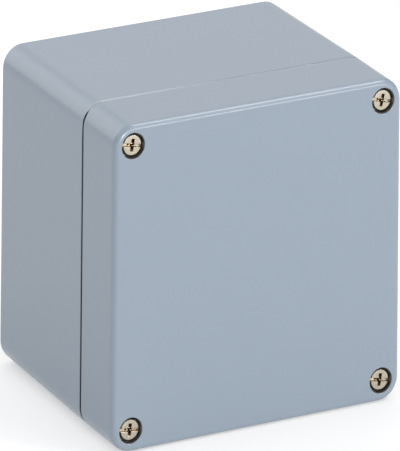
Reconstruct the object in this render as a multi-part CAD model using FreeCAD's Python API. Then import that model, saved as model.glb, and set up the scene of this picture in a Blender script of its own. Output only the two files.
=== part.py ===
import FreeCAD
import Part
import math
import os

# A die cast aluminium box with a deep screwed lid, standing on one of its long sides.
# X is the width, seen from the front. Y runs from the front of the lid back to the wall face.
# Z is up. The origin is under the middle of the box, on the surface that it stands on.
# All lengths are in millimetres and all angles in degrees.

# Outside of the closed box, measured at the joint between lid and base
width = 122.0
height = 120.0
depth = 91.0
lid_depth = 24.6
corner_radius = 8.5
front_edge_radius = 2.2
back_edge_radius = 1.8
lid_rim_radius = 0.3
base_rim_radius = 1.0
joint_gap = 0.3
base_draft = 0.4
lid_draft = 0.2

# Casting walls
base_wall = 4.0
base_floor = 4.0
lid_plate = 3.6
cavity_draft = 1.0
cavity_corner_radius = 4.0
cavity_floor_radius = 2.5
root_depth = 2.0

# Seal: the base's tongue stands in the lid's groove, on the gasket
groove_width = 2.6
groove_depth = 4.2
groove_lip = 1.4
tongue_width = 1.6
tongue_reach = 1.9
tongue_tip_radius = 0.4
gasket_side_clearance = 0.1
seal_land = 0.6

# Lid screws: cheese heads with a slot and a cross, a thin neck, and a threaded end
screw_inset = 8.0
head_diameter = 8.5
head_height = 3.3
head_edge_radius = 0.85
head_sink = 1.0
recess_clearance = 0.5
recess_mouth_radius = 0.35
neck_diameter = 4.0
thread_diameter = 5.0
thread_pitch = 0.8
thread_grip = 7.7
tip_chamfer = 0.7
slot_width = 1.2
slot_depth = 1.3
cross_span = 4.6
cross_wing = 1.3
cross_depth = 2.5
cross_foot = 0.45
slot_turns = {"top_left": 9.5, "top_right": 13.0, "bottom_left": 6.0, "bottom_right": 9.5}

# Screw columns of the lid, and the ring that keeps each screw in the lid
web_thickness = 6.0
web_hole_diameter = 5.6
ring_diameter = 8.0
ring_thickness = 1.2
ring_clearance = 0.35
running_clearance = 0.05
ring_play = 0.1
release_clearance = 0.3
pad_radius = 5.6

# Screw holes of the base
hole_spare_depth = 4.0
drill_point_angle = 118.0
hole_chamfer = 0.5

# Wall fixing: deep channels in the base's corner columns, outside the seal
fixing_below_screw = 11.0
fixing_hole_diameter = 6.4
fixing_channel_diameter = 10.0
fixing_channel_draft = 0.2
fixing_floor = 6.0
lid_pocket_clearance = 4.0

# Bosses on the base's floor for a mounting plate
plate_boss_from_column = 9.2
plate_boss_from_wall = 10.0
plate_boss_diameter = 9.0
plate_boss_height = 8.0
plate_hole_diameter = 3.3
plate_hole_depth = 9.0
boss_draft = 3.0
boss_foot_radius = 1.0

# Earth terminal: a boss, a clamp, a spring washer and a screw
earth_from_wall = 12.0
earth_boss_diameter = 10.0
earth_boss_height = 6.0
earth_hole_floor = 2.0
earth_thread_diameter = 4.0
earth_screw_length = 10.0
earth_head_diameter = 8.0
earth_head_height = 2.6
earth_head_edge_radius = 0.7
earth_tip_chamfer = 0.5
washer_hole_clearance = 0.15
clamp_length = 9.0
clamp_thickness = 1.0
clamp_lip = 1.6
clamp_lip_clearance = 0.3
clamp_bend_radius = 0.8
spring_washer_diameter = 7.4
spring_washer_thickness = 1.0
spring_washer_split = 0.8
earth_scale = 0.8

# Levels along Y
front_y = -depth / 2
back_y = depth / 2
joint_y = front_y + lid_depth
lid_rim_y = joint_y - joint_gap / 2
base_rim_y = joint_y + joint_gap / 2
base_floor_y = back_y - base_floor
lid_ceiling_y = front_y + lid_plate
seat_y = front_y + head_sink + head_height
web_back_y = seat_y + web_thickness
screw_travel = thread_grip + release_clearance
ring_y = web_back_y + screw_travel
thread_y = ring_y + ring_thickness + ring_play
screw_tip_y = joint_y + thread_grip
tongue_tip_y = lid_rim_y - tongue_reach
groove_end_y = lid_rim_y - groove_depth

# Places in the XZ plane, from the middle of the box
middle_z = height / 2
screw_x = width / 2 - screw_inset
screw_z = height / 2 - screw_inset
fixing_z = screw_z - fixing_below_screw
channel_radius = fixing_channel_diameter / 2
tongue_offset = (groove_width - tongue_width) / 2
column_x = screw_x - pad_radius - seal_land - groove_width
column_z = fixing_z - channel_radius - seal_land - groove_width
plate_boss_x = column_x - plate_boss_from_column
plate_boss_z = height / 2 - base_wall - plate_boss_from_wall
earth_z = base_wall + earth_from_wall - height / 2
bore_radius = thread_diameter / 2 + running_clearance
recess_radius = head_diameter / 2 + recess_clearance

# Two places count as the same within this distance, and two directions within this angle
same_place = 1e-4
same_direction_angle = 25.0

CORNERS = {
    "top_left": (-1, 1),
    "top_right": (1, 1),
    "bottom_left": (-1, -1),
    "bottom_right": (1, -1),
}
REAR = FreeCAD.Vector(0, 1, 0)
UP = FreeCAD.Vector(0, 0, 1)


def point(x, y, z):
    """A point given from the middle of the box's height."""
    return FreeCAD.Vector(x, y, middle_z + z)


def rod(x, z, y_start, y_end, radius, end_radius=None):
    """A round bar along Y between two levels, tapered if it has a second radius."""
    start = point(x, y_start, z)
    if end_radius is None:
        return Part.makeCylinder(radius, y_end - y_start, start, REAR)
    return Part.makeCone(radius, end_radius, y_end - y_start, start, REAR)


def at_each_corner(x, z):
    """The four places that mirror one place in the XZ plane."""
    return [(side * x, rise * z) for side, rise in CORNERS.values()]


def tapered_block(y_low, half_low, y_high, half_high, lift=0.0):
    """A block along Y with a rectangle at each end, given by half its width and height."""
    (x_low, z_low), (x_high, z_high) = half_low, half_high
    return Part.makeWedge(
        -x_low, y_low, lift - z_low, lift - z_high, -x_high,
        x_low, y_high, lift + z_low, lift + z_high, x_high,
    )


def edges_along(shape, direction=REAR):
    """The edges that run in a direction, give or take a draft."""
    least = math.cos(math.radians(same_direction_angle))
    return [e for e in shape.Edges if abs(e.tangentAt(e.FirstParameter).dot(direction)) > least]


def edges_at(shape, y, radius=None):
    """The edges that lie in one plane across Y, only the circles of one radius if it is given."""
    flat = [e for e in shape.Edges if all(abs(v.Y - y) < same_place for v in e.Vertexes)]
    flat = [e for e in flat if abs(e.tangentAt(e.FirstParameter).y) < same_place]
    if radius is None:
        return flat
    circles = [e for e in flat if isinstance(e.Curve, Part.Circle)]
    return [e for e in circles if abs(e.Curve.Radius - radius) < same_place]


def shrunk(half, draft, length):
    """Half sizes after a draft has drawn them in over a length."""
    loss = length * math.tan(math.radians(draft))
    return (half[0] - loss, half[1] - loss)


def rounded_loop(corners, y):
    """A closed wire across Y through corners (x, z, radius), each rounded by a tangent arc."""
    arcs = []
    for i, (x, z, radius) in enumerate(corners):
        here = point(x, y, z)
        before = point(corners[i - 1][0], y, corners[i - 1][1])
        after_x, after_z, _ = corners[(i + 1) % len(corners)]
        to_before = (before - here).normalize()
        to_after = (point(after_x, y, after_z) - here).normalize()
        half_angle = to_before.getAngle(to_after) / 2
        reach = radius / math.tan(half_angle)
        bisector = (to_before + to_after).normalize()
        crown = here + bisector * (radius / math.sin(half_angle) - radius)
        arcs.append((here + to_before * reach, crown, here + to_after * reach))
    edges = []
    for i, (start, crown, end) in enumerate(arcs):
        edges.append(Part.Arc(start, crown, end).toShape())
        edges.append(Part.makeLine(end, arcs[(i + 1) % len(arcs)][0]))
    return Part.Wire(edges)


def cavity_loop(y, grow):
    """The mouth of the base's cavity, a rectangle notched at its corners, grown outwards."""
    far_x = width / 2 - base_wall + grow
    far_z = height / 2 - base_wall + grow
    near_x = column_x + grow
    near_z = column_z + grow
    outward = cavity_corner_radius + grow
    inward = cavity_corner_radius - grow
    quarter = [(far_x, near_z, outward), (near_x, near_z, inward), (near_x, far_z, outward)]
    upper_left = [(-x, z, r) for x, z, r in reversed(quarter)]
    lower = [(x, -z, r) for x, z, r in reversed(quarter + upper_left)]
    return rounded_loop(quarter + upper_left + lower, y)


def seal_band(y_start, y_end, inner, outer):
    """A closed band that follows the cavity's mouth between two offsets from it."""
    loops = [cavity_loop(y_start, outer), cavity_loop(y_start, inner)]
    face = Part.makeFace(loops, "Part::FaceMakerBullseye")
    return face.extrude(FreeCAD.Vector(0, y_end - y_start, 0))


def cavity_core(y_mouth, y_end, inset):
    """The casting core of a cavity: two crossed blocks that narrow towards the cavity's end."""
    far = (width / 2 - base_wall - inset, height / 2 - base_wall - inset)
    near = (column_x - inset, column_z - inset)
    length = abs(y_end - y_mouth)
    blocks = []
    for half in ((near[0], far[1]), (far[0], near[1])):
        ends = {y_mouth: half, y_end: shrunk(half, cavity_draft, length)}
        low, high = sorted(ends)
        blocks.append(tapered_block(low, ends[low], high, ends[high], middle_z))
    core = blocks[0].fuse(blocks[1]).removeSplitter()
    core = core.makeFillet(cavity_corner_radius, edges_along(core))
    return core.makeFillet(cavity_floor_radius, edges_at(core, y_end))


def boss_radius(diameter, length):
    """The radius of a drafted boss at a length from its top."""
    return diameter / 2 + length * math.tan(math.radians(boss_draft))


def boss_on_floor(x, z, diameter, boss_height):
    """A drafted boss that stands on the base's floor, with a root inside the floor."""
    top_y = base_floor_y - boss_height
    root_radius = boss_radius(diameter, boss_height + root_depth)
    return rod(x, z, top_y, base_floor_y + root_depth, diameter / 2, root_radius)


def blind_hole(x, z, mouth_y, hole_depth, radius):
    """A drilled hole from a mouth level backwards, with a drill point and a chamfered mouth."""
    point_length = radius / math.tan(math.radians(drill_point_angle / 2))
    straight_end = mouth_y + hole_depth
    hole = rod(x, z, mouth_y, straight_end, radius)
    tip = rod(x, z, straight_end, straight_end + point_length, radius, 0)
    mouth = rod(x, z, mouth_y, mouth_y + hole_chamfer, radius + hole_chamfer, radius)
    return hole.fuse([tip, mouth])


def make_base():
    """The deep rear casting."""
    length = back_y - base_rim_y
    half = (width / 2, height / 2)
    body = tapered_block(base_rim_y, half, back_y, shrunk(half, base_draft, length), middle_z)
    body = body.makeFillet(corner_radius, edges_along(body))
    body = body.makeFillet(back_edge_radius, edges_at(body, back_y))
    body = body.makeFillet(base_rim_radius, edges_at(body, base_rim_y))
    body = body.cut(cavity_core(base_rim_y, base_floor_y, 0))

    plate_places = at_each_corner(plate_boss_x, plate_boss_z)
    bosses = [boss_on_floor(x, z, plate_boss_diameter, plate_boss_height)
              for x, z in plate_places]
    bosses.append(boss_on_floor(0, earth_z, earth_boss_diameter, earth_boss_height))
    body = body.fuse(bosses)
    feet = edges_at(body, base_floor_y, boss_radius(plate_boss_diameter, plate_boss_height))
    feet += edges_at(body, base_floor_y, boss_radius(earth_boss_diameter, earth_boss_height))
    body = body.makeFillet(boss_foot_radius, feet)

    root_end_y = base_rim_y + root_depth
    tongue = seal_band(tongue_tip_y, root_end_y, tongue_offset, tongue_offset + tongue_width)
    tongue = tongue.makeFillet(tongue_tip_radius, edges_at(tongue, tongue_tip_y))
    pads = [rod(x, z, joint_y, root_end_y, pad_radius)
            for x, z in at_each_corner(screw_x, screw_z)]
    body = body.fuse([tongue] + pads)

    cuts = []
    channel_end_y = back_y - fixing_floor
    draft_growth = math.tan(math.radians(fixing_channel_draft)) * (channel_end_y - base_rim_y)
    for x, z in at_each_corner(screw_x, fixing_z):
        cuts.append(rod(x, z, base_rim_y, channel_end_y, channel_radius,
                        channel_radius - draft_growth))
        cuts.append(rod(x, z, channel_end_y, back_y, fixing_hole_diameter / 2))
    for x, z in at_each_corner(screw_x, screw_z):
        cuts.append(blind_hole(x, z, joint_y, thread_grip + hole_spare_depth, bore_radius))
    for x, z in plate_places:
        cuts.append(blind_hole(x, z, base_floor_y - plate_boss_height, plate_hole_depth,
                               plate_hole_diameter / 2))
    earth_hole_depth = earth_boss_height + base_floor - earth_hole_floor
    cuts.append(blind_hole(0, earth_z, earth_clamp_face(), earth_hole_depth,
                           earth_thread_diameter / 2 + running_clearance))
    return body.cut(cuts)


def make_lid():
    """The front casting, a deep cover with the screw columns and the gasket groove."""
    length = lid_rim_y - front_y
    half = (width / 2, height / 2)
    body = tapered_block(front_y, shrunk(half, lid_draft, length), lid_rim_y, half, middle_z)
    body = body.makeFillet(corner_radius, edges_along(body))
    body = body.makeFillet(front_edge_radius, edges_at(body, front_y))
    body = body.makeFillet(lid_rim_radius, edges_at(body, lid_rim_y))
    body = body.cut(cavity_core(lid_rim_y, lid_ceiling_y, groove_lip))

    screw_places = at_each_corner(screw_x, screw_z)
    pads = [rod(x, z, web_back_y, joint_y, pad_radius) for x, z in screw_places]
    body = body.fuse(pads)
    cuts = [seal_band(groove_end_y, lid_rim_y, 0, groove_width)]
    for x, z in screw_places:
        cuts.append(rod(x, z, front_y, seat_y, recess_radius))
        cuts.append(rod(x, z, seat_y, web_back_y, web_hole_diameter / 2))
        cuts.append(rod(x, z, web_back_y, joint_y, ring_diameter / 2 + ring_clearance))
    pocket_end_y = front_y + lid_pocket_clearance
    draft_growth = math.tan(math.radians(cavity_draft)) * (lid_rim_y - pocket_end_y)
    for x, z in at_each_corner(screw_x, fixing_z):
        cuts.append(rod(x, z, pocket_end_y, lid_rim_y, channel_radius - draft_growth,
                        channel_radius))
    body = body.cut(cuts)
    return body.makeFillet(recess_mouth_radius, edges_at(body, front_y, recess_radius))


def make_gasket():
    """The cord that fills the end of the lid's groove."""
    side = gasket_side_clearance
    return seal_band(groove_end_y, tongue_tip_y, side, groove_width - side)


def screw_recess(span, top_y, scale):
    """The slot across a screw head and the cross in its middle, about the Y axis."""
    slot_end = top_y + slot_depth * scale
    slot_half = slot_width * scale / 2
    slot = tapered_block(top_y, (span, slot_half), slot_end, (span, slot_half))
    cross_end = top_y + cross_depth * scale
    long_half = cross_span * scale / 2
    wing_half = cross_wing * scale / 2
    foot_long = long_half * cross_foot
    foot_wing = wing_half * cross_foot
    flat_wing = tapered_block(top_y, (long_half, wing_half), cross_end, (foot_long, foot_wing))
    tall_wing = tapered_block(top_y, (wing_half, long_half), cross_end, (foot_wing, foot_long))
    return slot.fuse([flat_wing, tall_wing])


def head_blank(diameter, head_length, edge_radius):
    """A cheese head in front of the plane y = 0, with its front edge rounded."""
    front = FreeCAD.Vector(0, -head_length, 0)
    head = Part.makeCylinder(diameter / 2, head_length, front, REAR)
    return head.makeFillet(edge_radius, edges_at(head, -head_length))


def pointed_rod(y_start, y_end, radius, chamfer):
    """A round bar from the origin's axis with a chamfered far end."""
    start = FreeCAD.Vector(0, y_start, 0)
    bar = Part.makeCylinder(radius, y_end - y_start, start, REAR)
    return bar.makeChamfer(chamfer, edges_at(bar, y_end))


def make_lid_screw(turn):
    """A lid screw about the Y axis, its head's seat at y = 0, turned by an angle in degrees."""
    head = head_blank(head_diameter, head_height, head_edge_radius)
    head = head.cut(screw_recess(head_diameter, -head_height, 1.0))
    neck_end = thread_y - seat_y
    neck = Part.makeCylinder(neck_diameter / 2, neck_end, FreeCAD.Vector(0, 0, 0), REAR)
    thread = pointed_rod(neck_end, screw_tip_y - seat_y, thread_diameter / 2, tip_chamfer)
    screw = head.fuse([neck, thread]).removeSplitter()
    screw.rotate(FreeCAD.Vector(0, 0, 0), REAR, turn)
    return screw


def make_ring():
    """A flat ring about the Y axis that runs on a screw's neck, its front face at y = 0."""
    origin = FreeCAD.Vector(0, 0, 0)
    blank = Part.makeCylinder(ring_diameter / 2, ring_thickness, origin, REAR)
    hole_radius = neck_diameter / 2 + running_clearance
    return blank.cut(Part.makeCylinder(hole_radius, ring_thickness, origin, REAR))


def placed(shape, x, y, z):
    """A copy of a shape moved to a place given from the middle of the box's height."""
    copy = shape.copy()
    copy.translate(point(x, y, z))
    return copy


def earth_clamp_face():
    """Level of the earth boss's top, where the clamp lies."""
    return base_floor_y - earth_boss_height


def make_earth_clamp():
    """A small plate over the earth boss, with two lips turned down beside the boss."""
    face = earth_clamp_face()
    inner = earth_boss_diameter / 2 + clamp_lip_clearance
    outer = inner + clamp_thickness
    half = clamp_length / 2
    lift = middle_z + earth_z
    block = tapered_block(face - clamp_thickness, (outer, half), face + clamp_lip,
                          (outer, half), lift)
    bends = [e for e in edges_along(block, UP) if e.CenterOfMass.y < face]
    block = block.makeFillet(clamp_bend_radius, bends)
    room = tapered_block(face, (inner, half), face + clamp_lip, (inner, half), lift)
    hole_radius = earth_thread_diameter / 2 + washer_hole_clearance
    hole = rod(0, earth_z, face - clamp_thickness, face, hole_radius)
    return block.cut([room, hole])


def make_spring_washer():
    """A split spring washer pressed flat on the earth clamp."""
    back = earth_clamp_face() - clamp_thickness
    front = back - spring_washer_thickness
    rim_radius = spring_washer_diameter / 2
    washer = rod(0, earth_z, front, back, rim_radius)
    hole_radius = earth_thread_diameter / 2 + washer_hole_clearance
    hole = rod(0, earth_z, front, back, hole_radius)
    split_half = (spring_washer_split / 2, rim_radius / 2)
    split_middle = middle_z + earth_z + rim_radius / 2
    split = tapered_block(front, split_half, back, split_half, split_middle)
    return washer.cut([hole, split])


def make_earth_screw():
    """The earth terminal's screw, tightened on the spring washer."""
    head = head_blank(earth_head_diameter, earth_head_height, earth_head_edge_radius)
    head = head.cut(screw_recess(earth_head_diameter, -earth_head_height, earth_scale))
    shank = pointed_rod(0, earth_screw_length, earth_thread_diameter / 2, earth_tip_chamfer)
    seat = earth_clamp_face() - clamp_thickness - spring_washer_thickness
    return placed(head.fuse(shank).removeSplitter(), 0, seat, earth_z)


def make_all():
    """Every piece of the box by the name of its file."""
    pieces = {
        "base": make_base(),
        "lid": make_lid(),
        "lid_gasket": make_gasket(),
        "earth_clamp": make_earth_clamp(),
        "earth_spring_washer": make_spring_washer(),
        "earth_screw": make_earth_screw(),
    }
    for corner, (side, rise) in CORNERS.items():
        x, z = side * screw_x, rise * screw_z
        screw = make_lid_screw(slot_turns[corner])
        pieces["lid_screw_" + corner] = placed(screw, x, seat_y, z)
        pieces["screw_ring_" + corner] = placed(make_ring(), x, ring_y, z)
    return pieces


os.makedirs("parts", exist_ok=True)
for name, shape in make_all().items():
    shape.exportStep("parts/" + name + ".step")
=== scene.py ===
import math

import bmesh
import bpy
from mathutils import Matrix, Vector


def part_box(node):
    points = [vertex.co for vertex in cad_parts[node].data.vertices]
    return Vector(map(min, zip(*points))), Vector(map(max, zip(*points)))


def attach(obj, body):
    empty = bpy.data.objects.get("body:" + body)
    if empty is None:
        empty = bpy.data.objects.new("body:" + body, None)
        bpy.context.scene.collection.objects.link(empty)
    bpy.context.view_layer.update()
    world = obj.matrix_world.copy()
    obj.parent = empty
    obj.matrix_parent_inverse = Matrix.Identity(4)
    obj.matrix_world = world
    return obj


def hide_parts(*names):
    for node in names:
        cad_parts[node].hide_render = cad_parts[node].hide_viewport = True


# The looks of a die cast aluminium box with a deep screwed lid.
# Shapes are worked out in millimetres and stored in metres.

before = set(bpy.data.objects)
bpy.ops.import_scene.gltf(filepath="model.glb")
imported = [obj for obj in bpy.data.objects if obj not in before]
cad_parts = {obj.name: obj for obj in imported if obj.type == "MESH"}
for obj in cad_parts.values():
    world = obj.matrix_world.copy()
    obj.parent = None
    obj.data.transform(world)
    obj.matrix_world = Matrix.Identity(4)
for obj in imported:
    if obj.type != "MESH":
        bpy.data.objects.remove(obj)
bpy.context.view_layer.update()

MM = 0.001

# The closed box, as in the CAD model
HALF_WIDTH = 61.0
HALF_HEIGHT = 60.0
MIDDLE_Z = 60.0
CORNER_RADIUS = 8.5
FRONT_Y = -45.5
BACK_Y = 45.5
LID_RIM_Y = -21.05
BASE_RIM_Y = -20.75
BASE_DRAFT = math.radians(0.4)
LID_DRAFT = math.radians(0.2)
SCREW_X = 53.0
SCREW_Z = 52.0
FIXING_Z = 41.0
RECESS_RADIUS = 4.75
RECESS_MOUTH = 0.35
PAD_RADIUS = 5.6
CHANNEL_RADIUS = 5.0
CORNERS = ("top_left", "top_right", "bottom_left", "bottom_right")
SLOT_TURNS = {"top_left": 9.5, "top_right": 13.0, "bottom_left": 6.0, "bottom_right": 9.5}


# Mesh helpers

def new_piece(name, bm, place, finishes, smooth_angle=35.0):
    """A mesh object from a bmesh in millimetres, about its own place, smooth up to an angle."""
    bmesh.ops.scale(bm, vec=(MM, MM, MM), verts=bm.verts)
    bmesh.ops.recalc_face_normals(bm, faces=bm.faces)
    mesh = bpy.data.meshes.new(name)
    bm.to_mesh(mesh)
    bm.free()
    mesh.shade_smooth()
    mesh.set_sharp_from_angle(angle=math.radians(smooth_angle))
    for material in finishes:
        mesh.materials.append(material)
    piece = bpy.data.objects.new(name, mesh)
    piece.location = Vector(place) * MM
    bpy.context.scene.collection.objects.link(piece)
    return piece


def dress(piece, body, node):
    """Lets a piece stand for a CAD node and move with its body."""
    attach(piece, body)
    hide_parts(node)


def ring_of(bm, radius, y, count):
    """One ring of vertices about the Y axis."""
    angles = [2 * math.pi * i / count for i in range(count)]
    return [bm.verts.new((radius * math.cos(a), y, radius * math.sin(a))) for a in angles]


def bridge(bm, rows, closed):
    """Quads between rings of vertices, and also from the last ring to the first if closed."""
    pairs = list(zip(rows, rows[1:]))
    if closed:
        pairs.append((rows[-1], rows[0]))
    for low, high in pairs:
        for i in range(len(low)):
            j = (i + 1) % len(low)
            bm.faces.new((low[i], low[j], high[j], high[i]))


def revolved(profile, count):
    """A closed ring about the Y axis from a closed profile of (radius, y)."""
    bm = bmesh.new()
    bridge(bm, [ring_of(bm, r, y, count) for r, y in profile], closed=True)
    return bm


def rounded_corner(centre, radius, start, steps):
    """Points on a quarter circle, from an angle in degrees on."""
    angles = [math.radians(start + 90 * i / steps) for i in range(steps + 1)]
    return [(centre[0] + radius * math.cos(a), centre[1] + radius * math.sin(a)) for a in angles]


def rounded_section(low, high, radius, steps=3):
    """A rectangle between two corners with rounded corners, as a closed list of points."""
    (x0, y0), (x1, y1) = low, high
    return (rounded_corner((x1 - radius, y0 + radius), radius, -90, steps)
            + rounded_corner((x1 - radius, y1 - radius), radius, 0, steps)
            + rounded_corner((x0 + radius, y1 - radius), radius, 90, steps)
            + rounded_corner((x0 + radius, y0 + radius), radius, 180, steps))


def lofted_block(name, sections, finishes, wall_finish, end_finish):
    """A cutter through rectangles across Y, each given by its level, half length and half width.

    Its walls and its end leave their own finish, by number, in what they cut."""
    bm = bmesh.new()
    rows = []
    for y, a, b in sections:
        rows.append([bm.verts.new(c) for c in ((-a, y, -b), (a, y, -b), (a, y, b), (-a, y, b))])
    bridge(bm, rows, closed=False)
    bm.faces.new(rows[0])
    for face in bm.faces:
        face.material_index = wall_finish
    bm.faces.new(rows[-1]).material_index = end_finish
    return new_piece(name, bm, (0, 0, 0), finishes)


def cut_away(piece, cutters):
    """Cuts other objects out of a piece for good, and removes them."""
    for cutter in cutters:
        cutter.matrix_world = piece.matrix_world @ cutter.matrix_world
        change = piece.modifiers.new("cut", "BOOLEAN")
        change.object = cutter
        change.operation = "DIFFERENCE"
        change.solver = "EXACT"
    settle(piece)
    for cutter in cutters:
        bpy.data.objects.remove(cutter)


def settle(piece):
    """Turns a piece's modifiers into its mesh."""
    bpy.context.view_layer.update()
    seen = piece.evaluated_get(bpy.context.evaluated_depsgraph_get())
    mesh = bpy.data.meshes.new_from_object(seen)
    piece.modifiers.clear()
    piece.data = mesh
    mesh.name = piece.name


# Material helpers

class Paint:
    """A material's node tree, with short calls for the nodes that repeat."""

    def __init__(self, name):
        self.material = bpy.data.materials.new(name)
        self.material.use_nodes = True
        self.tree = self.material.node_tree
        self.shader = self.tree.nodes["Principled BSDF"]
        where = self.tree.nodes.new("ShaderNodeTexCoord").outputs["Object"]
        self.place = self.vector("MULTIPLY", where, (1 / MM, 1 / MM, 1 / MM))

    def feed(self, socket, value):
        if isinstance(value, bpy.types.NodeSocket):
            self.tree.links.new(value, socket)
        else:
            socket.default_value = value

    def math(self, operation, *values):
        node = self.tree.nodes.new("ShaderNodeMath")
        node.operation = operation
        for socket, value in zip(node.inputs, values):
            self.feed(socket, value)
        return node.outputs[0]

    def product(self, *values):
        """All values multiplied."""
        total = values[0]
        for value in values[1:]:
            total = self.math("MULTIPLY", total, value)
        return total

    def without(self, value, share):
        """A value with a share of it taken away."""
        return self.product(value, self.math("SUBTRACT", 1.0, share))

    def vector(self, operation, *values):
        node = self.tree.nodes.new("ShaderNodeVectorMath")
        node.operation = operation
        for socket, value in zip(node.inputs, values):
            self.feed(socket, value)
        return node.outputs["Value" if operation in ("LENGTH", "DOT_PRODUCT") else "Vector"]

    def axes(self, vector):
        node = self.tree.nodes.new("ShaderNodeSeparateXYZ")
        self.feed(node.inputs[0], vector)
        return node.outputs

    def joined(self, x, y, z):
        node = self.tree.nodes.new("ShaderNodeCombineXYZ")
        for socket, value in zip(node.inputs, (x, y, z)):
            self.feed(socket, value)
        return node.outputs[0]

    def step(self, value, start, end):
        """0 up to start and 1 from end on, smooth between them, in either order."""
        node = self.tree.nodes.new("ShaderNodeMapRange")
        node.interpolation_type = "SMOOTHSTEP"
        self.feed(node.inputs["Value"], value)
        node.inputs["From Min"].default_value = start
        node.inputs["From Max"].default_value = end
        return node.outputs["Result"]

    def ranged(self, value, low, high):
        """A value from 0 to 1 spread over a range."""
        return self.math("MULTIPLY_ADD", value, high - low, low)

    def noise(self, size, detail=2.0, roughness=0.5, where=None):
        """Soft noise from 0 to 1 with features of about a size in millimetres."""
        node = self.tree.nodes.new("ShaderNodeTexNoise")
        self.feed(node.inputs["Vector"], self.place if where is None else where)
        node.inputs["Scale"].default_value = 1 / size
        node.inputs["Detail"].default_value = detail
        node.inputs["Roughness"].default_value = roughness
        return node.outputs["Fac"]

    def mixed(self, share, first, second):
        """A blend of two numbers."""
        node = self.tree.nodes.new("ShaderNodeMix")
        for socket, value in zip(node.inputs[0:1] + node.inputs[2:4], (share, first, second)):
            self.feed(socket, value)
        return node.outputs[0]

    def colours(self, share, first, second):
        """A blend of two colours."""
        node = self.tree.nodes.new("ShaderNodeMix")
        node.data_type = "RGBA"
        for socket, value in zip(node.inputs[0:1] + node.inputs[6:8], (share, first, second)):
            self.feed(socket, value)
        return node.outputs[2]

    def bump(self, height, depth):
        """Relief from a height of 0 to 1 with a depth in millimetres."""
        node = self.tree.nodes.new("ShaderNodeBump")
        self.feed(node.inputs["Height"], height)
        node.inputs["Distance"].default_value = depth * MM
        return node.outputs["Normal"]

    def finish(self, **sockets):
        """Feeds the shader's sockets, with _ for each space in a name."""
        for name, value in sockets.items():
            self.feed(self.shader.inputs[name.replace("_", " ")], value)
        return self.material


def grey(value):
    return (value, value, value, 1.0)


# Materials

PAINT_LIGHT = (0.198, 0.239, 0.289, 1.0)
PAINT_DARK = (0.189, 0.228, 0.275, 1.0)
# Painted highlight: lighter paint along the top of the base's rim
PAINT_HIGHLIGHT = (0.34, 0.38, 0.42, 1.0)
CAST_LIGHT = (0.66, 0.67, 0.68, 1.0)
CAST_DARK = (0.50, 0.51, 0.52, 1.0)
CUT_METAL = (0.44, 0.40, 0.35, 1.0)
# Painted shade: near black on the bare rim faces in the joint between lid and base, on the sides
# and bottom only
JOINT_SHADE = (0.02, 0.022, 0.025, 1.0)


def from_edge(nodes, x, y, z, rim_y, draft):
    """Distance from the outer wall, below zero inside it, at any point of a casting."""
    loss = nodes.math("MULTIPLY", nodes.math("ABSOLUTE", nodes.math("SUBTRACT", y, rim_y)),
                      math.tan(draft))
    beyond_x = nodes.math("SUBTRACT", nodes.math("ADD", nodes.math("ABSOLUTE", x), loss),
                          HALF_WIDTH - CORNER_RADIUS)
    beyond_z = nodes.math("SUBTRACT", nodes.math("ADD", nodes.math("ABSOLUTE", z), loss),
                          HALF_HEIGHT - CORNER_RADIUS)
    corner = nodes.vector("LENGTH", nodes.joined(nodes.math("MAXIMUM", beyond_x, 0.0), 0.0,
                                                 nodes.math("MAXIMUM", beyond_z, 0.0)))
    flat = nodes.math("MINIMUM", nodes.math("MAXIMUM", beyond_x, beyond_z), 0.0)
    return nodes.math("SUBTRACT", nodes.math("ADD", corner, flat), CORNER_RADIUS)


def from_axis(nodes, x, z, axis_x, axis_z):
    """Distance from the nearest of four axes along Y that mirror each other."""
    away_x = nodes.math("SUBTRACT", nodes.math("ABSOLUTE", x), axis_x)
    away_z = nodes.math("SUBTRACT", nodes.math("ABSOLUTE", z), axis_z)
    return nodes.vector("LENGTH", nodes.joined(away_x, 0.0, away_z))


# Where the finishes, the painted joint shade and the painted highlight of a casting meet, in
# millimetres: where each starts, and where it is full.
# Places inside the outer wall and behind the end face are below zero.
PAINT_INWARD = (-1.7, -1.5)
PAINT_FROM_END = (-0.9, -0.7)
PAINT_RAGGED = 0.12
CUT_REACH = (PAD_RADIUS + 0.25, PAD_RADIUS + 0.15)
RECESS_REACH = (RECESS_RADIUS + 0.2, RECESS_RADIUS + 0.1)
RECESS_FROM_END = (-RECESS_MOUTH, -RECESS_MOUTH - 0.1)
CHANNEL_REACH = (CHANNEL_RADIUS + 0.3, CHANNEL_RADIUS + 0.2)
CHANNEL_FROM_END = (-0.3, -4.0)
# Painted shade in the joint: the bare rim faces are darkened on the sides and bottom, and the top
# is left lit
JOINT_SHADE_FROM_RIM = (0.6, 0.47)
JOINT_SHADE_INWARD = (-1.0, -0.7)
JOINT_SHADE_Z = (HALF_HEIGHT - 1.0, HALF_HEIGHT - 4.0)
JOINT_SHADE_RAGGED = 0.03
# A painted highlight along the top of the base's rim, full at the left and fading to the right
HIGHLIGHT_FROM_RIM = (1.0, 0.6)
HIGHLIGHT_Z = (HALF_HEIGHT - 13.0, HALF_HEIGHT - 7.0)
HIGHLIGHT_X = (10.0, -45.0)

# Roughness from the smoothest to the dullest spot
PAINT_GLOSS = (0.22, 0.27)
SKIN_GLOSS = (0.42, 0.6)
CUT_GLOSS = (0.4, 0.55)

# Relief: its depth in millimetres, and each finish's share of that depth
CASTING_RELIEF = 0.012
PEEL_SHARE = 0.45
TURNED_SHARE = 0.35
GRAIN_SHARE = 0.035


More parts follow.
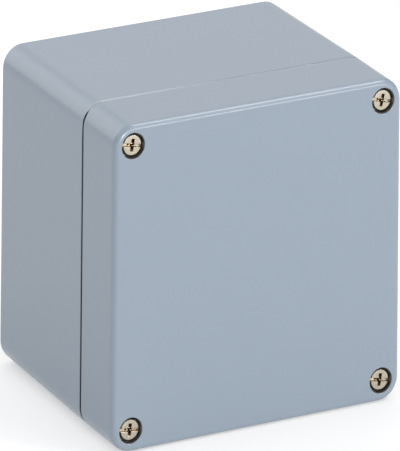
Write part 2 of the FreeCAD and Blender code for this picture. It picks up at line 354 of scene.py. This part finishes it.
def casting_zones(nodes, rim_y, draft, end_y):
    """Shares of paint, cut metal, painted joint shade and painted highlight, and the distance to a
    screw.
    """
    x, y, raised = nodes.axes(nodes.place)
    z = nodes.math("SUBTRACT", raised, MIDDLE_Z)
    is_base = end_y > 0
    side = 1.0 if is_base else -1.0
    to_end = nodes.math("MULTIPLY", nodes.math("SUBTRACT", y, end_y), side)
    to_rim = nodes.math("MULTIPLY", nodes.math("SUBTRACT", y, rim_y), side)
    wander = nodes.noise(0.5)
    ragged = nodes.ranged(wander, -PAINT_RAGGED, PAINT_RAGGED)
    inward = nodes.math("ADD", from_edge(nodes, x, y, z, rim_y, draft), ragged)
    screw = from_axis(nodes, x, z, SCREW_X, SCREW_Z)

    outside = nodes.math("MAXIMUM", nodes.step(inward, *PAINT_INWARD),
                         nodes.step(to_end, *PAINT_FROM_END))
    if is_base:
        channel = from_axis(nodes, x, z, SCREW_X, FIXING_Z)
        outside = nodes.without(outside, nodes.product(
            nodes.step(channel, *CHANNEL_REACH), nodes.step(to_end, *CHANNEL_FROM_END)))
    # Painted shade in the joint, on the sides and bottom and not on top
    ragged_rim = nodes.math("ADD", to_rim, nodes.ranged(wander, -JOINT_SHADE_RAGGED, JOINT_SHADE_RAGGED))
    joint = nodes.product(nodes.step(ragged_rim, *JOINT_SHADE_FROM_RIM), nodes.step(z, *JOINT_SHADE_Z),
                          nodes.step(inward, *JOINT_SHADE_INWARD))
    recess = nodes.product(nodes.step(screw, *RECESS_REACH), nodes.step(to_end, *RECESS_FROM_END))
    # A painted highlight: lighter paint along the top of the base's rim, fading to the right
    painted_highlight = 0.0
    if is_base:
        painted_highlight = nodes.product(nodes.step(to_rim, *HIGHLIGHT_FROM_RIM), nodes.step(z, *HIGHLIGHT_Z),
                               nodes.step(x, *HIGHLIGHT_X))
    return {
        "painted": nodes.without(nodes.without(outside, joint), recess),
        "cut": nodes.step(screw, *CUT_REACH),
        "joint": joint,
        "painted_highlight": painted_highlight,
        "screw": screw,
    }


def cast_skin(nodes, joint):
    """Light metal with flow marks and painted shade in the joint: its colour, roughness and sandy
    grain.
    """
    flow = nodes.noise(9.0, detail=5.0, roughness=0.6,
                       where=nodes.vector("MULTIPLY", nodes.place, (1.0, 0.35, 1.0)))
    colour = nodes.colours(joint, nodes.colours(flow, CAST_DARK, CAST_LIGHT), JOINT_SHADE)
    sand = nodes.noise(0.3, detail=3.0, roughness=0.65)
    return colour, nodes.ranged(flow, *SKIN_GLOSS), sand


def turned_rings(nodes, screw):
    """Marks of a cutter that turned about a screw's axis."""
    y = nodes.axes(nodes.place)[1]
    along = nodes.math("ADD", screw, nodes.math("MULTIPLY", y, 0.6))
    return nodes.noise(0.12, detail=2.0, where=nodes.joined(along, 0.0, 0.0))


def painted_casting(name, rim_y, draft, end_y):
    """Blue-grey paint outside, the casting's own skin inside, and bare metal where tools cut it."""
    nodes = Paint(name)
    zones = casting_zones(nodes, rim_y, draft, end_y)
    painted, cut = zones["painted"], zones["cut"]

    # Paint: semi-gloss with a fine orange peel
    peel = nodes.noise(1.5, detail=1.5, roughness=0.6)
    grain = nodes.noise(0.35, detail=1.0)
    cloud = nodes.noise(18.0, detail=3.0)
    paint = nodes.colours(nodes.mixed(0.5, cloud, peel), PAINT_DARK, PAINT_LIGHT)
    # Painted highlight along the top of the base's rim
    paint = nodes.colours(zones["painted_highlight"], paint, PAINT_HIGHLIGHT)

    # Bare metal: the skin with painted shade in the joint, and rings where it is cut
    skin, skin_gloss, sand = cast_skin(nodes, zones["joint"])
    turned = turned_rings(nodes, zones["screw"])
    metal = nodes.colours(cut, skin, CUT_METAL)
    metal_gloss = nodes.mixed(cut, skin_gloss, nodes.ranged(turned, *CUT_GLOSS))
    metal_relief = nodes.mixed(cut, sand, nodes.ranged(turned, 0.0, TURNED_SHARE))

    paint_relief = nodes.ranged(peel, 0.0, PEEL_SHARE)
    relief = nodes.math("ADD", nodes.mixed(painted, metal_relief, paint_relief),
                        nodes.ranged(grain, 0.0, GRAIN_SHARE))
    return nodes.finish(
        Base_Color=nodes.colours(painted, metal, paint),
        Metallic=nodes.math("SUBTRACT", 1.0, painted),
        Roughness=nodes.mixed(painted, metal_gloss, nodes.ranged(peel, *PAINT_GLOSS)),
        Normal=nodes.bump(relief, CASTING_RELIEF),
    )


# Light and dark colour, and lowest and highest roughness, of each metal of the screws, and of the
# painted shade on the lid screws' head rims and in their recesses
STAINLESS_HEAD = ((0.56, 0.485, 0.38, 1.0), (0.36, 0.345, 0.295, 1.0), 0.2, 0.34)
# Painted shade: near black on the outer part of the lid screws' head rounding and on their sides
STAINLESS_RIM_SHADE = ((0.07, 0.07, 0.065, 1.0), (0.04, 0.045, 0.045, 1.0), 0.4, 0.55)
# Painted shade: darker brown on the walls of the slot and all over the cross recess
STAINLESS_RECESS_SHADE = ((0.40, 0.30, 0.19, 1.0), (0.20, 0.17, 0.13, 1.0), 0.15, 0.28)
ZINC_PLATING = ((0.74, 0.75, 0.77, 1.0), (0.6, 0.62, 0.66, 1.0), 0.25, 0.4)


def screw_metal(name, light, dark, rough_low, rough_high):
    """Plated or bare steel with marks of turning about its own axis."""
    nodes = Paint(name)
    x, y, z = nodes.axes(nodes.place)
    radius = nodes.vector("LENGTH", nodes.joined(x, 0.0, z))
    rings = nodes.noise(0.16, detail=3.0, roughness=0.7, where=nodes.joined(
        nodes.math("ADD", radius, nodes.math("MULTIPLY", y, 0.7)), 0.0, 0.0))
    patches = nodes.noise(1.6, detail=3.0)
    return nodes.finish(
        Base_Color=nodes.colours(patches, dark, light),
        Metallic=1.0,
        Roughness=nodes.ranged(nodes.mixed(0.5, rings, patches), rough_low, rough_high),
        Normal=nodes.bump(rings, 0.006),
    )


def rubber():
    """Foamed dark rubber with a closed, finely pored skin."""
    nodes = Paint("gasket_rubber")
    pores = nodes.noise(0.25, detail=3.0, roughness=0.6)
    cloud = nodes.noise(5.0, detail=2.0)
    return nodes.finish(
        Base_Color=nodes.colours(cloud, grey(0.018), grey(0.034)),
        Roughness=nodes.ranged(pores, 0.55, 0.8),
        Normal=nodes.bump(pores, 0.03),
    )


def nylon():
    """Natural nylon, off-white and slightly see-through at its edges."""
    nodes = Paint("natural_nylon")
    cloud = nodes.noise(2.5, detail=2.0)
    grain = nodes.noise(0.2, detail=2.0)
    return nodes.finish(
        Base_Color=nodes.colours(cloud, (0.70, 0.67, 0.58, 1.0), (0.78, 0.755, 0.67, 1.0)),
        Roughness=nodes.ranged(grain, 0.38, 0.5),
        Normal=nodes.bump(grain, 0.008),
        Subsurface_Weight=0.15,
        Subsurface_Radius=(1.2 * MM, 1.0 * MM, 0.7 * MM),
    )


# Screws

LID_SCREW = {
    "head_radius": 4.25, "head_height": 3.3, "head_round": 0.85, "neck_radius": 2.0,
    "thread_start": 15.3, "thread_radius": 2.5, "pitch": 0.8, "tip": 28.0,
    "tip_chamfer": 0.7, "recess": 1.0,
}
EARTH_SCREW = {
    "head_radius": 4.0, "head_height": 2.6, "head_round": 0.7, "neck_radius": 1.55,
    "thread_start": 0.3, "thread_radius": 2.0, "pitch": 0.7, "tip": 10.0,
    "tip_chamfer": 0.5, "recess": 0.8,
}
SCREW_SIDES = 48
THREAD_DEPTH = 0.6134
# The share of the head's rounding that gets painted shade, and the finishes of a screw by number
RIM_SHADE_SHARE = 0.8
HEAD_FINISH, RIM_SHADE_FINISH, RECESS_SHADE_FINISH = 0, 1, 2
# The recess of a screw of full size: half widths and depths of the slot and of the cross
SLOT_HALF, SLOT_DEPTH = 0.6, 1.3
CROSS_HALF_SPAN, CROSS_HALF_WING = 2.3, 0.65
CROSS_END, CROSS_POINT = 2.3, 2.5
CROSS_FOOT = 0.45
MOUTH_FLARE = 0.05
# One pitch of the thread's outline: place along the pitch, and height above the root
THREAD_OUTLINE = ((0.0, 0.0), (0.125, 0.0), (0.25, 0.0), (0.40625, 0.5),
                  (0.5625, 1.0), (0.6875, 1.0), (0.84375, 0.5))


def head_rows(bm, size):
    """Rings from the middle of a screw head's front to the start of its thread."""
    radius, height, edge = size["head_radius"], size["head_height"], size["head_round"]
    neck = size["neck_radius"]
    outline = [(radius * 0.4, -height), (radius - edge, -height)]
    arc = rounded_corner((radius - edge, -height + edge), edge, -90, 8)
    outline += arc[1:]
    outline += [(radius, -0.12), (radius - 0.12, 0.0), (neck + 0.15, 0.0), (neck, 0.15)]
    return [ring_of(bm, r, y, SCREW_SIDES) for r, y in outline]


def thread_rows(bm, size):
    """Rows of a helical thread, each a pitch further after one turn, held between its two ends."""
    start, end, pitch = size["thread_start"], size["tip"], size["pitch"]
    depth = THREAD_DEPTH * pitch
    root = size["thread_radius"] - depth
    tip_radius = size["thread_radius"] - size["tip_chamfer"]
    turns = math.ceil((end - start) / pitch) + 1
    rows = []
    for turn in range(-1, turns):
        for along, height in THREAD_OUTLINE:
            row = []
            for i in range(SCREW_SIDES):
                y = start + pitch * (turn + along + i / SCREW_SIDES)
                y = min(max(y, start), end)
                radius = min(root + depth * height, size["neck_radius"] + (y - start),
                             tip_radius + (end - y))
                angle = 2 * math.pi * i / SCREW_SIDES
                row.append(bm.verts.new((radius * math.cos(angle), y,
                                         radius * math.sin(angle))))
            rows.append(row)
    return rows


def bridge_thread(bm, rows):
    """Quads along a thread. Where a row closes, it meets the row of the next turn."""
    last = SCREW_SIDES - 1
    step = len(THREAD_OUTLINE)
    for low, high in zip(rows, rows[1:]):
        for i in range(last):
            bm.faces.new((low[i], low[i + 1], high[i + 1], high[i]))
    for k in range(len(rows) - step - 1):
        low, high = rows[k], rows[k + 1]
        next_low, next_high = rows[k + step], rows[k + step + 1]
        bm.faces.new((low[last], next_low[0], next_high[0], high[last]))


def screw_blank(size):
    """A screw with its head and thread, without a recess, its seat at y = 0."""
    bm = bmesh.new()
    head = head_rows(bm, size)
    thread = thread_rows(bm, size)
    bm.faces.new(head[0])
    bridge(bm, head + [ring_of(bm, size["neck_radius"], size["thread_start"], SCREW_SIDES)],
           closed=False)
    # The outer part of the head's rounding and its side get painted shade
    rim_shade_start = size["head_radius"] - RIM_SHADE_SHARE * size["head_round"]
    for face in bm.faces:
        middle = face.calc_center_median()
        if math.hypot(middle.x, middle.z) > rim_shade_start:
            face.material_index = RIM_SHADE_FINISH
    bridge_thread(bm, thread)
    tip_radius = size["thread_radius"] - size["tip_chamfer"]
    end = ring_of(bm, tip_radius, size["tip"], SCREW_SIDES)
    bm.faces.new(end)
    bmesh.ops.remove_doubles(bm, verts=bm.verts, dist=1e-4)
    bmesh.ops.dissolve_degenerate(bm, edges=bm.edges, dist=1e-4)
    return bm


def recess_cutters(size, finishes):
    """The slot across a head and the cross in its middle, with broken edges at the mouth."""
    scale = size["recess"]
    top = -size["head_height"]
    above = top - 1.0
    flare = MOUTH_FLARE * scale
    slot_half, slot_end = SLOT_HALF * scale, top + SLOT_DEPTH * scale
    reach = size["head_radius"] + 1.0
    # The slot's walls and all of the cross take the painted recess shade; the slot's floor keeps
    # the head's colour
    cutters = [lofted_block("slot", [
        (above, reach, slot_half + flare), (top, reach, slot_half + flare),
        (top + flare, reach, slot_half), (slot_end, reach, slot_half)],
        finishes, RECESS_SHADE_FINISH, HEAD_FINISH)]
    wide, thin, foot = CROSS_HALF_SPAN * scale, CROSS_HALF_WING * scale, CROSS_FOOT
    cross_end, point_end = top + CROSS_END * scale, top + CROSS_POINT * scale
    for turned in (False, True):
        sections = [(above, wide + flare, thin + flare), (top, wide + flare, thin + flare),
                    (top + flare, wide, thin), (cross_end, wide * foot, thin * foot),
                    (point_end, thin * foot, thin * foot * 0.5)]
        if turned:
            sections = [(y, b, a) for y, a, b in sections]
        cutters.append(lofted_block("wing", sections, finishes, RECESS_SHADE_FINISH, RECESS_SHADE_FINISH))
    return cutters


def make_screw(name, size, place, turn, finishes):
    """A screw with its recess cut, turned about its axis and put in its place."""
    piece = new_piece(name, screw_blank(size), (0, 0, 0), finishes)
    cut_away(piece, recess_cutters(size, finishes))
    piece.data.set_sharp_from_angle(angle=math.radians(35))
    piece.data.transform(Matrix.Rotation(math.radians(turn), 4, "Y"))
    piece.location = Vector(place) * MM
    return piece


def axis_place(node, y):
    """The middle of a CAD node's box across Y, at a level along Y."""
    low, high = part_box(node)
    return ((low.x + high.x) / 2 / MM, y, (low.z + high.z) / 2 / MM)


LID_SEAT_Y = -41.2
EARTH_SEAT_Y = 33.5


def add_lid_screws(finishes):
    for corner in CORNERS:
        node = "lid_screw_" + corner
        place = axis_place(node, LID_SEAT_Y)
        piece = make_screw("screw_" + corner, LID_SCREW, place, SLOT_TURNS[corner], finishes)
        dress(piece, "screw_" + corner, node)


def add_earth_screw(finishes):
    place = axis_place("earth_screw", EARTH_SEAT_Y)
    piece = make_screw("terminal_screw", EARTH_SCREW, place, 0.0, finishes)
    dress(piece, "earth_screw", "earth_screw")


# Rings, seal and earth terminal

RING_RADIUS = 4.0
RING_HOLE = 2.05
RING_THICKNESS = 1.2
RING_Y = -27.2


def add_rings(material):
    """Nylon rings on the screws' necks."""
    for corner in CORNERS:
        node = "screw_ring_" + corner
        bm = revolved(rounded_section((RING_HOLE, 0.0), (RING_RADIUS, RING_THICKNESS), 0.18), 64)
        piece = new_piece("retaining_ring_" + corner, bm, axis_place(node, RING_Y), [material])
        dress(piece, "ring_" + corner, node)


FAR_X, FAR_Z = 57.0, 56.0
NEAR_X, NEAR_Z = 44.2, 32.8
LOOP_RADIUS = 4.0
GASKET_BACK_Y = -22.95
GASKET_FRONT_Y = -25.25
GASKET_SIDES = (0.1, 2.5)
ARC_STEPS = 10


def rounded_path(corners):
    """Points in the XZ plane along a closed path through corners (x, z, radius)."""
    path = []
    for i, (x, z, radius) in enumerate(corners):
        here = Vector((x, z))
        before = (Vector(corners[i - 1][:2]) - here).normalized()
        after = (Vector(corners[(i + 1) % len(corners)][:2]) - here).normalized()
        centre = here + (before + after) * radius
        for step in range(ARC_STEPS + 1):
            angle = math.pi / 2 * step / ARC_STEPS
            path.append(centre - after * radius * math.cos(angle)
                        - before * radius * math.sin(angle))
    return path


def cavity_path(grow):
    """The cavity's notched mouth, grown outwards."""
    outward, inward = LOOP_RADIUS + grow, LOOP_RADIUS - grow
    far_x, far_z, near_x, near_z = (v + grow for v in (FAR_X, FAR_Z, NEAR_X, NEAR_Z))
    quarter = [(far_x, near_z, outward), (near_x, near_z, inward), (near_x, far_z, outward)]
    left = [(-x, z, r) for x, z, r in reversed(quarter)]
    lower = [(x, -z, r) for x, z, r in reversed(quarter + left)]
    return rounded_path(quarter + left + lower)


def add_gasket(material):
    """The sealing cord in the lid's groove, with the print of the base's tongue along its back."""
    low, high = GASKET_SIDES
    section = rounded_section((low, GASKET_FRONT_Y), (high, GASKET_BACK_Y), 0.3)
    count = len(section) // 4
    back = section[:2 * count]
    middle = (low + high) / 2
    print_half, print_depth = 0.8, 0.12
    printed = [(middle + print_half, GASKET_BACK_Y),
               (middle + print_half - 0.15, GASKET_BACK_Y - print_depth),
               (middle - print_half + 0.15, GASKET_BACK_Y - print_depth),
               (middle - print_half, GASKET_BACK_Y)]
    outline = back + printed + section[2 * count:]
    bm = bmesh.new()
    paths = [(cavity_path(u), y) for u, y in outline]
    rows = [[bm.verts.new((p.x, y, p.y)) for p in path] for path, y in paths]
    bridge(bm, rows, closed=True)
    piece = new_piece("sealing_cord", bm, (0, 0, MIDDLE_Z), [material])
    dress(piece, "lid", "lid_gasket")


WASHER_HOLE = 2.15
WASHER_RADIUS = 3.7
WASHER_Y = (33.5, 34.5)
WASHER_SPLIT = 0.8
WASHER_STEPS = 72


def add_spring_washer(material):
    """A split ring of square wire with softened edges, pressed flat."""
    bm = bmesh.new()
    low, high = WASHER_Y
    section = rounded_section((WASHER_HOLE, low), (WASHER_RADIUS, high), 0.12)
    rows = []
    middle = (WASHER_HOLE + WASHER_RADIUS) / 2
    gap = WASHER_SPLIT / 2 / middle
    for i in range(WASHER_STEPS + 1):
        angle = math.pi / 2 + gap + (2 * math.pi - 2 * gap) * i / WASHER_STEPS
        rows.append([bm.verts.new((r * math.cos(angle), y, r * math.sin(angle)))
                     for r, y in section])
    bridge(bm, rows, closed=False)
    bm.faces.new(rows[0])
    bm.faces.new(rows[-1])
    x, _, z = axis_place("earth_screw", 0.0)
    piece = new_piece("terminal_spring_washer", bm, (x, 0, z), [material])
    dress(piece, "earth_clamp", "earth_spring_washer")


CLAMP_Y = (34.5, 37.1)
CLAMP_OUTER = 6.3
CLAMP_THICKNESS = 1.0
CLAMP_HALF_LENGTH = 4.5


def add_earth_clamp(material):
    """A bent plate with two lips, its hole and corners softened."""
    face, lip = CLAMP_Y
    bend, inner_bend = 0.8, 0.25
    inner = CLAMP_OUTER - CLAMP_THICKNESS
    under = face + CLAMP_THICKNESS
    right = [(CLAMP_OUTER - bend + bend * math.sin(a), face + bend - bend * math.cos(a))
             for a in (math.radians(90 * i / 6) for i in range(7))]
    right += [(CLAMP_OUTER, lip), (inner, lip)]
    right += [(inner - inner_bend + inner_bend * math.cos(a),
               under + inner_bend - inner_bend * math.sin(a))
              for a in (math.radians(90 * i / 3) for i in range(4))]
    outline = right + [(-x, y) for x, y in reversed(right)]
    bm = bmesh.new()
    rows = [[bm.verts.new((x, y, z)) for x, y in outline]
            for z in (-CLAMP_HALF_LENGTH, CLAMP_HALF_LENGTH)]
    bridge(bm, rows, closed=False)
    bm.faces.new(rows[0])
    bm.faces.new(rows[1])
    x, _, z = axis_place("earth_screw", 0.0)
    piece = new_piece("terminal_clamp", bm, (x, 0, z), [material])
    hole = bmesh.new()
    rings = [ring_of(hole, WASHER_HOLE, y, 48) for y in (face - 1, under + 1)]
    bridge(hole, rings, closed=False)
    hole.faces.new(rings[0])
    hole.faces.new(rings[1])
    cut_away(piece, [new_piece("hole", hole, (0, 0, 0), [material])])
    soften = piece.modifiers.new("soften", "BEVEL")
    soften.width = 0.12 * MM
    soften.segments = 2
    soften.limit_method = "ANGLE"
    soften.angle_limit = math.radians(50)
    settle(piece)
    piece.data.set_sharp_from_angle(angle=math.radians(50))
    dress(piece, "earth_clamp", "earth_clamp")


def dress_castings():
    """Gives the base and the lid their materials. Their shapes are the CAD model's own."""
    castings = {
        "base": painted_casting("painted_base", BASE_RIM_Y, BASE_DRAFT, BACK_Y),
        "lid": painted_casting("painted_lid", LID_RIM_Y, LID_DRAFT, FRONT_Y),
    }
    for name, material in castings.items():
        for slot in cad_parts[name].material_slots:
            slot.material = material


# Studio

FLOOR_SIZE = 30.0
FLOOR_Z = -0.0001
FLOOR_DARK, FLOOR_LIGHT = 0.50, 0.52
FLOOR_GLOW = 0.42


def add_floor():
    """A plain pale floor."""
    nodes = Paint("studio_floor")
    cloud = nodes.noise(120.0, detail=2.0)
    material = nodes.finish(
        Base_Color=nodes.colours(cloud, grey(FLOOR_DARK), grey(FLOOR_LIGHT)),
        Roughness=0.9,
        Emission_Color=grey(1.0),
        Emission_Strength=FLOOR_GLOW,
    )
    half = FLOOR_SIZE / 2
    mesh = bpy.data.meshes.new("floor")
    corners = [(-half, -half, 0), (half, -half, 0), (half, half, 0), (-half, half, 0)]
    mesh.from_pydata(corners, [], [(0, 1, 2, 3)])
    mesh.materials.append(material)
    floor = bpy.data.objects.new("floor", mesh)
    floor.location.z = FLOOR_Z
    bpy.context.scene.collection.objects.link(floor)


def add_world():
    """A soft white surrounding, brighter behind and to the back left. No edge shows in a gloss."""
    world = bpy.data.worlds.new("studio")
    world.use_nodes = True
    tree = world.node_tree
    towards = tree.nodes.new("ShaderNodeTexCoord").outputs["Generated"]
    total = WORLD_BASE
    for direction, start, full, radiance in WORLD_LOBES:
        near = tree.nodes.new("ShaderNodeVectorMath")
        near.operation = "DOT_PRODUCT"
        tree.links.new(towards, near.inputs[0])
        near.inputs[1].default_value = Vector(direction).normalized()
        lobe = tree.nodes.new("ShaderNodeMapRange")
        lobe.interpolation_type = "SMOOTHSTEP"
        tree.links.new(near.outputs["Value"], lobe.inputs["Value"])
        lobe.inputs["From Min"].default_value = start
        lobe.inputs["From Max"].default_value = full
        lobe.inputs["To Max"].default_value = radiance
        added = tree.nodes.new("ShaderNodeMath")
        for socket, value in zip(added.inputs, (lobe.outputs["Result"], total)):
            if isinstance(value, bpy.types.NodeSocket):
                tree.links.new(value, socket)
            else:
                socket.default_value = value
        total = added.outputs[0]
    tree.links.new(total, tree.nodes["Background"].inputs["Strength"])
    tree.nodes["Background"].inputs["Color"].default_value = grey(1.0)
    bpy.context.scene.world = world


def add_light(name, direction, distance, size, radiance):
    """A soft box that faces the object, as bright as a surface of that radiance."""
    light = bpy.data.lights.new(name, "AREA")
    light.shape = "RECTANGLE"
    light.size, light.size_y = size
    light.energy = radiance * math.pi * size[0] * size[1]
    lamp = bpy.data.objects.new(name, light)
    towards = Vector(direction).normalized()
    lamp.location = Vector((0, 0, MIDDLE_Z * MM)) + towards * distance
    lamp.rotation_mode = "QUATERNION"
    lamp.rotation_quaternion = (-towards).to_track_quat("-Z", "Y")
    bpy.context.scene.collection.objects.link(lamp)


# Radiance of the surrounding, and its brighter parts: direction, start and full reach, and radiance
WORLD_BASE = 0.48
WORLD_LOBES = (
    ((-0.10, 0.88, 0.42), 0.50, 0.95, 0.70),
    ((-0.45, 0.78, 0.43), 0.80, 1.00, 1.40),
)

# Name, direction, distance, size and radiance of each soft box
SOFT_BOXES = (
    ("over", (0.25, 0.1, 0.96), 2.2, (2.6, 2.4), 0.8),
    ("up_left", (-0.62, 0.1, 0.78), 2.4, (1.6, 1.6), 1.4),
    ("upper", (0.454, -0.366, 0.812), 2.2, (0.6, 0.8), 10.5),
    ("middle", (0.454, -0.75, 0.47), 2.4, (0.7, 0.7), 2.5),
    ("front_left", (-0.83, -0.54, 0.05), 2.5, (0.3, 0.5), 6.0),
    ("front", (0.0, -0.985, 0.1), 2.5, (0.35, 0.35), 78.0),
    ("front_right", (0.454, -0.891, 0.03), 2.5, (0.6, 0.6), 14.0),
)

# The photograph's picture plane is upright while its line of sight falls by 21 degrees, as with a
# camera that has a rising front. So the camera's own up and sideways axes aren't square to its
# line of sight. Its empty holds those three axes and its place. It has no lens shift.
CAMERA_PLACE = (-1.270307, -2.271877, 1.083064)
CAMERA_RIGHT = (0.899632, -0.436538, 0.009833)
CAMERA_UP = (-0.012917, -0.004097, 0.999908)
CAMERA_LOOK = (0.454248, 0.812033, -0.366417)
CAMERA_LENS = 594.03


def add_camera():
    data = bpy.data.cameras.new("camera")
    data.lens = CAMERA_LENS
    data.clip_start = 0.1
    data.clip_end = 50.0
    camera = bpy.data.objects.new("camera", data)
    holder = bpy.data.objects.new("camera_holder", None)
    for thing in (camera, holder):
        bpy.context.scene.collection.objects.link(thing)
    camera.parent = holder
    back = -Vector(CAMERA_LOOK)
    axes = Matrix((CAMERA_RIGHT, CAMERA_UP, back)).transposed().to_4x4()
    camera.matrix_parent_inverse = Matrix.Translation(CAMERA_PLACE) @ axes
    bpy.context.scene.camera = camera


dress_castings()
lid_screw_finishes = (
    screw_metal("stainless_steel", *STAINLESS_HEAD),
    screw_metal("stainless_rim_shade", *STAINLESS_RIM_SHADE),
    screw_metal("stainless_recess_shade", *STAINLESS_RECESS_SHADE),
)
zinc = screw_metal("zinc_plated_steel", *ZINC_PLATING)
add_lid_screws(lid_screw_finishes)
add_earth_screw((zinc, zinc, zinc))
add_rings(nylon())
add_gasket(rubber())
add_spring_washer(zinc)
add_earth_clamp(zinc)

bpy.context.scene.view_settings.view_transform = "Standard"
add_floor()
add_world()
for name, *facts in SOFT_BOXES:
    add_light(name, *facts)
add_camera()
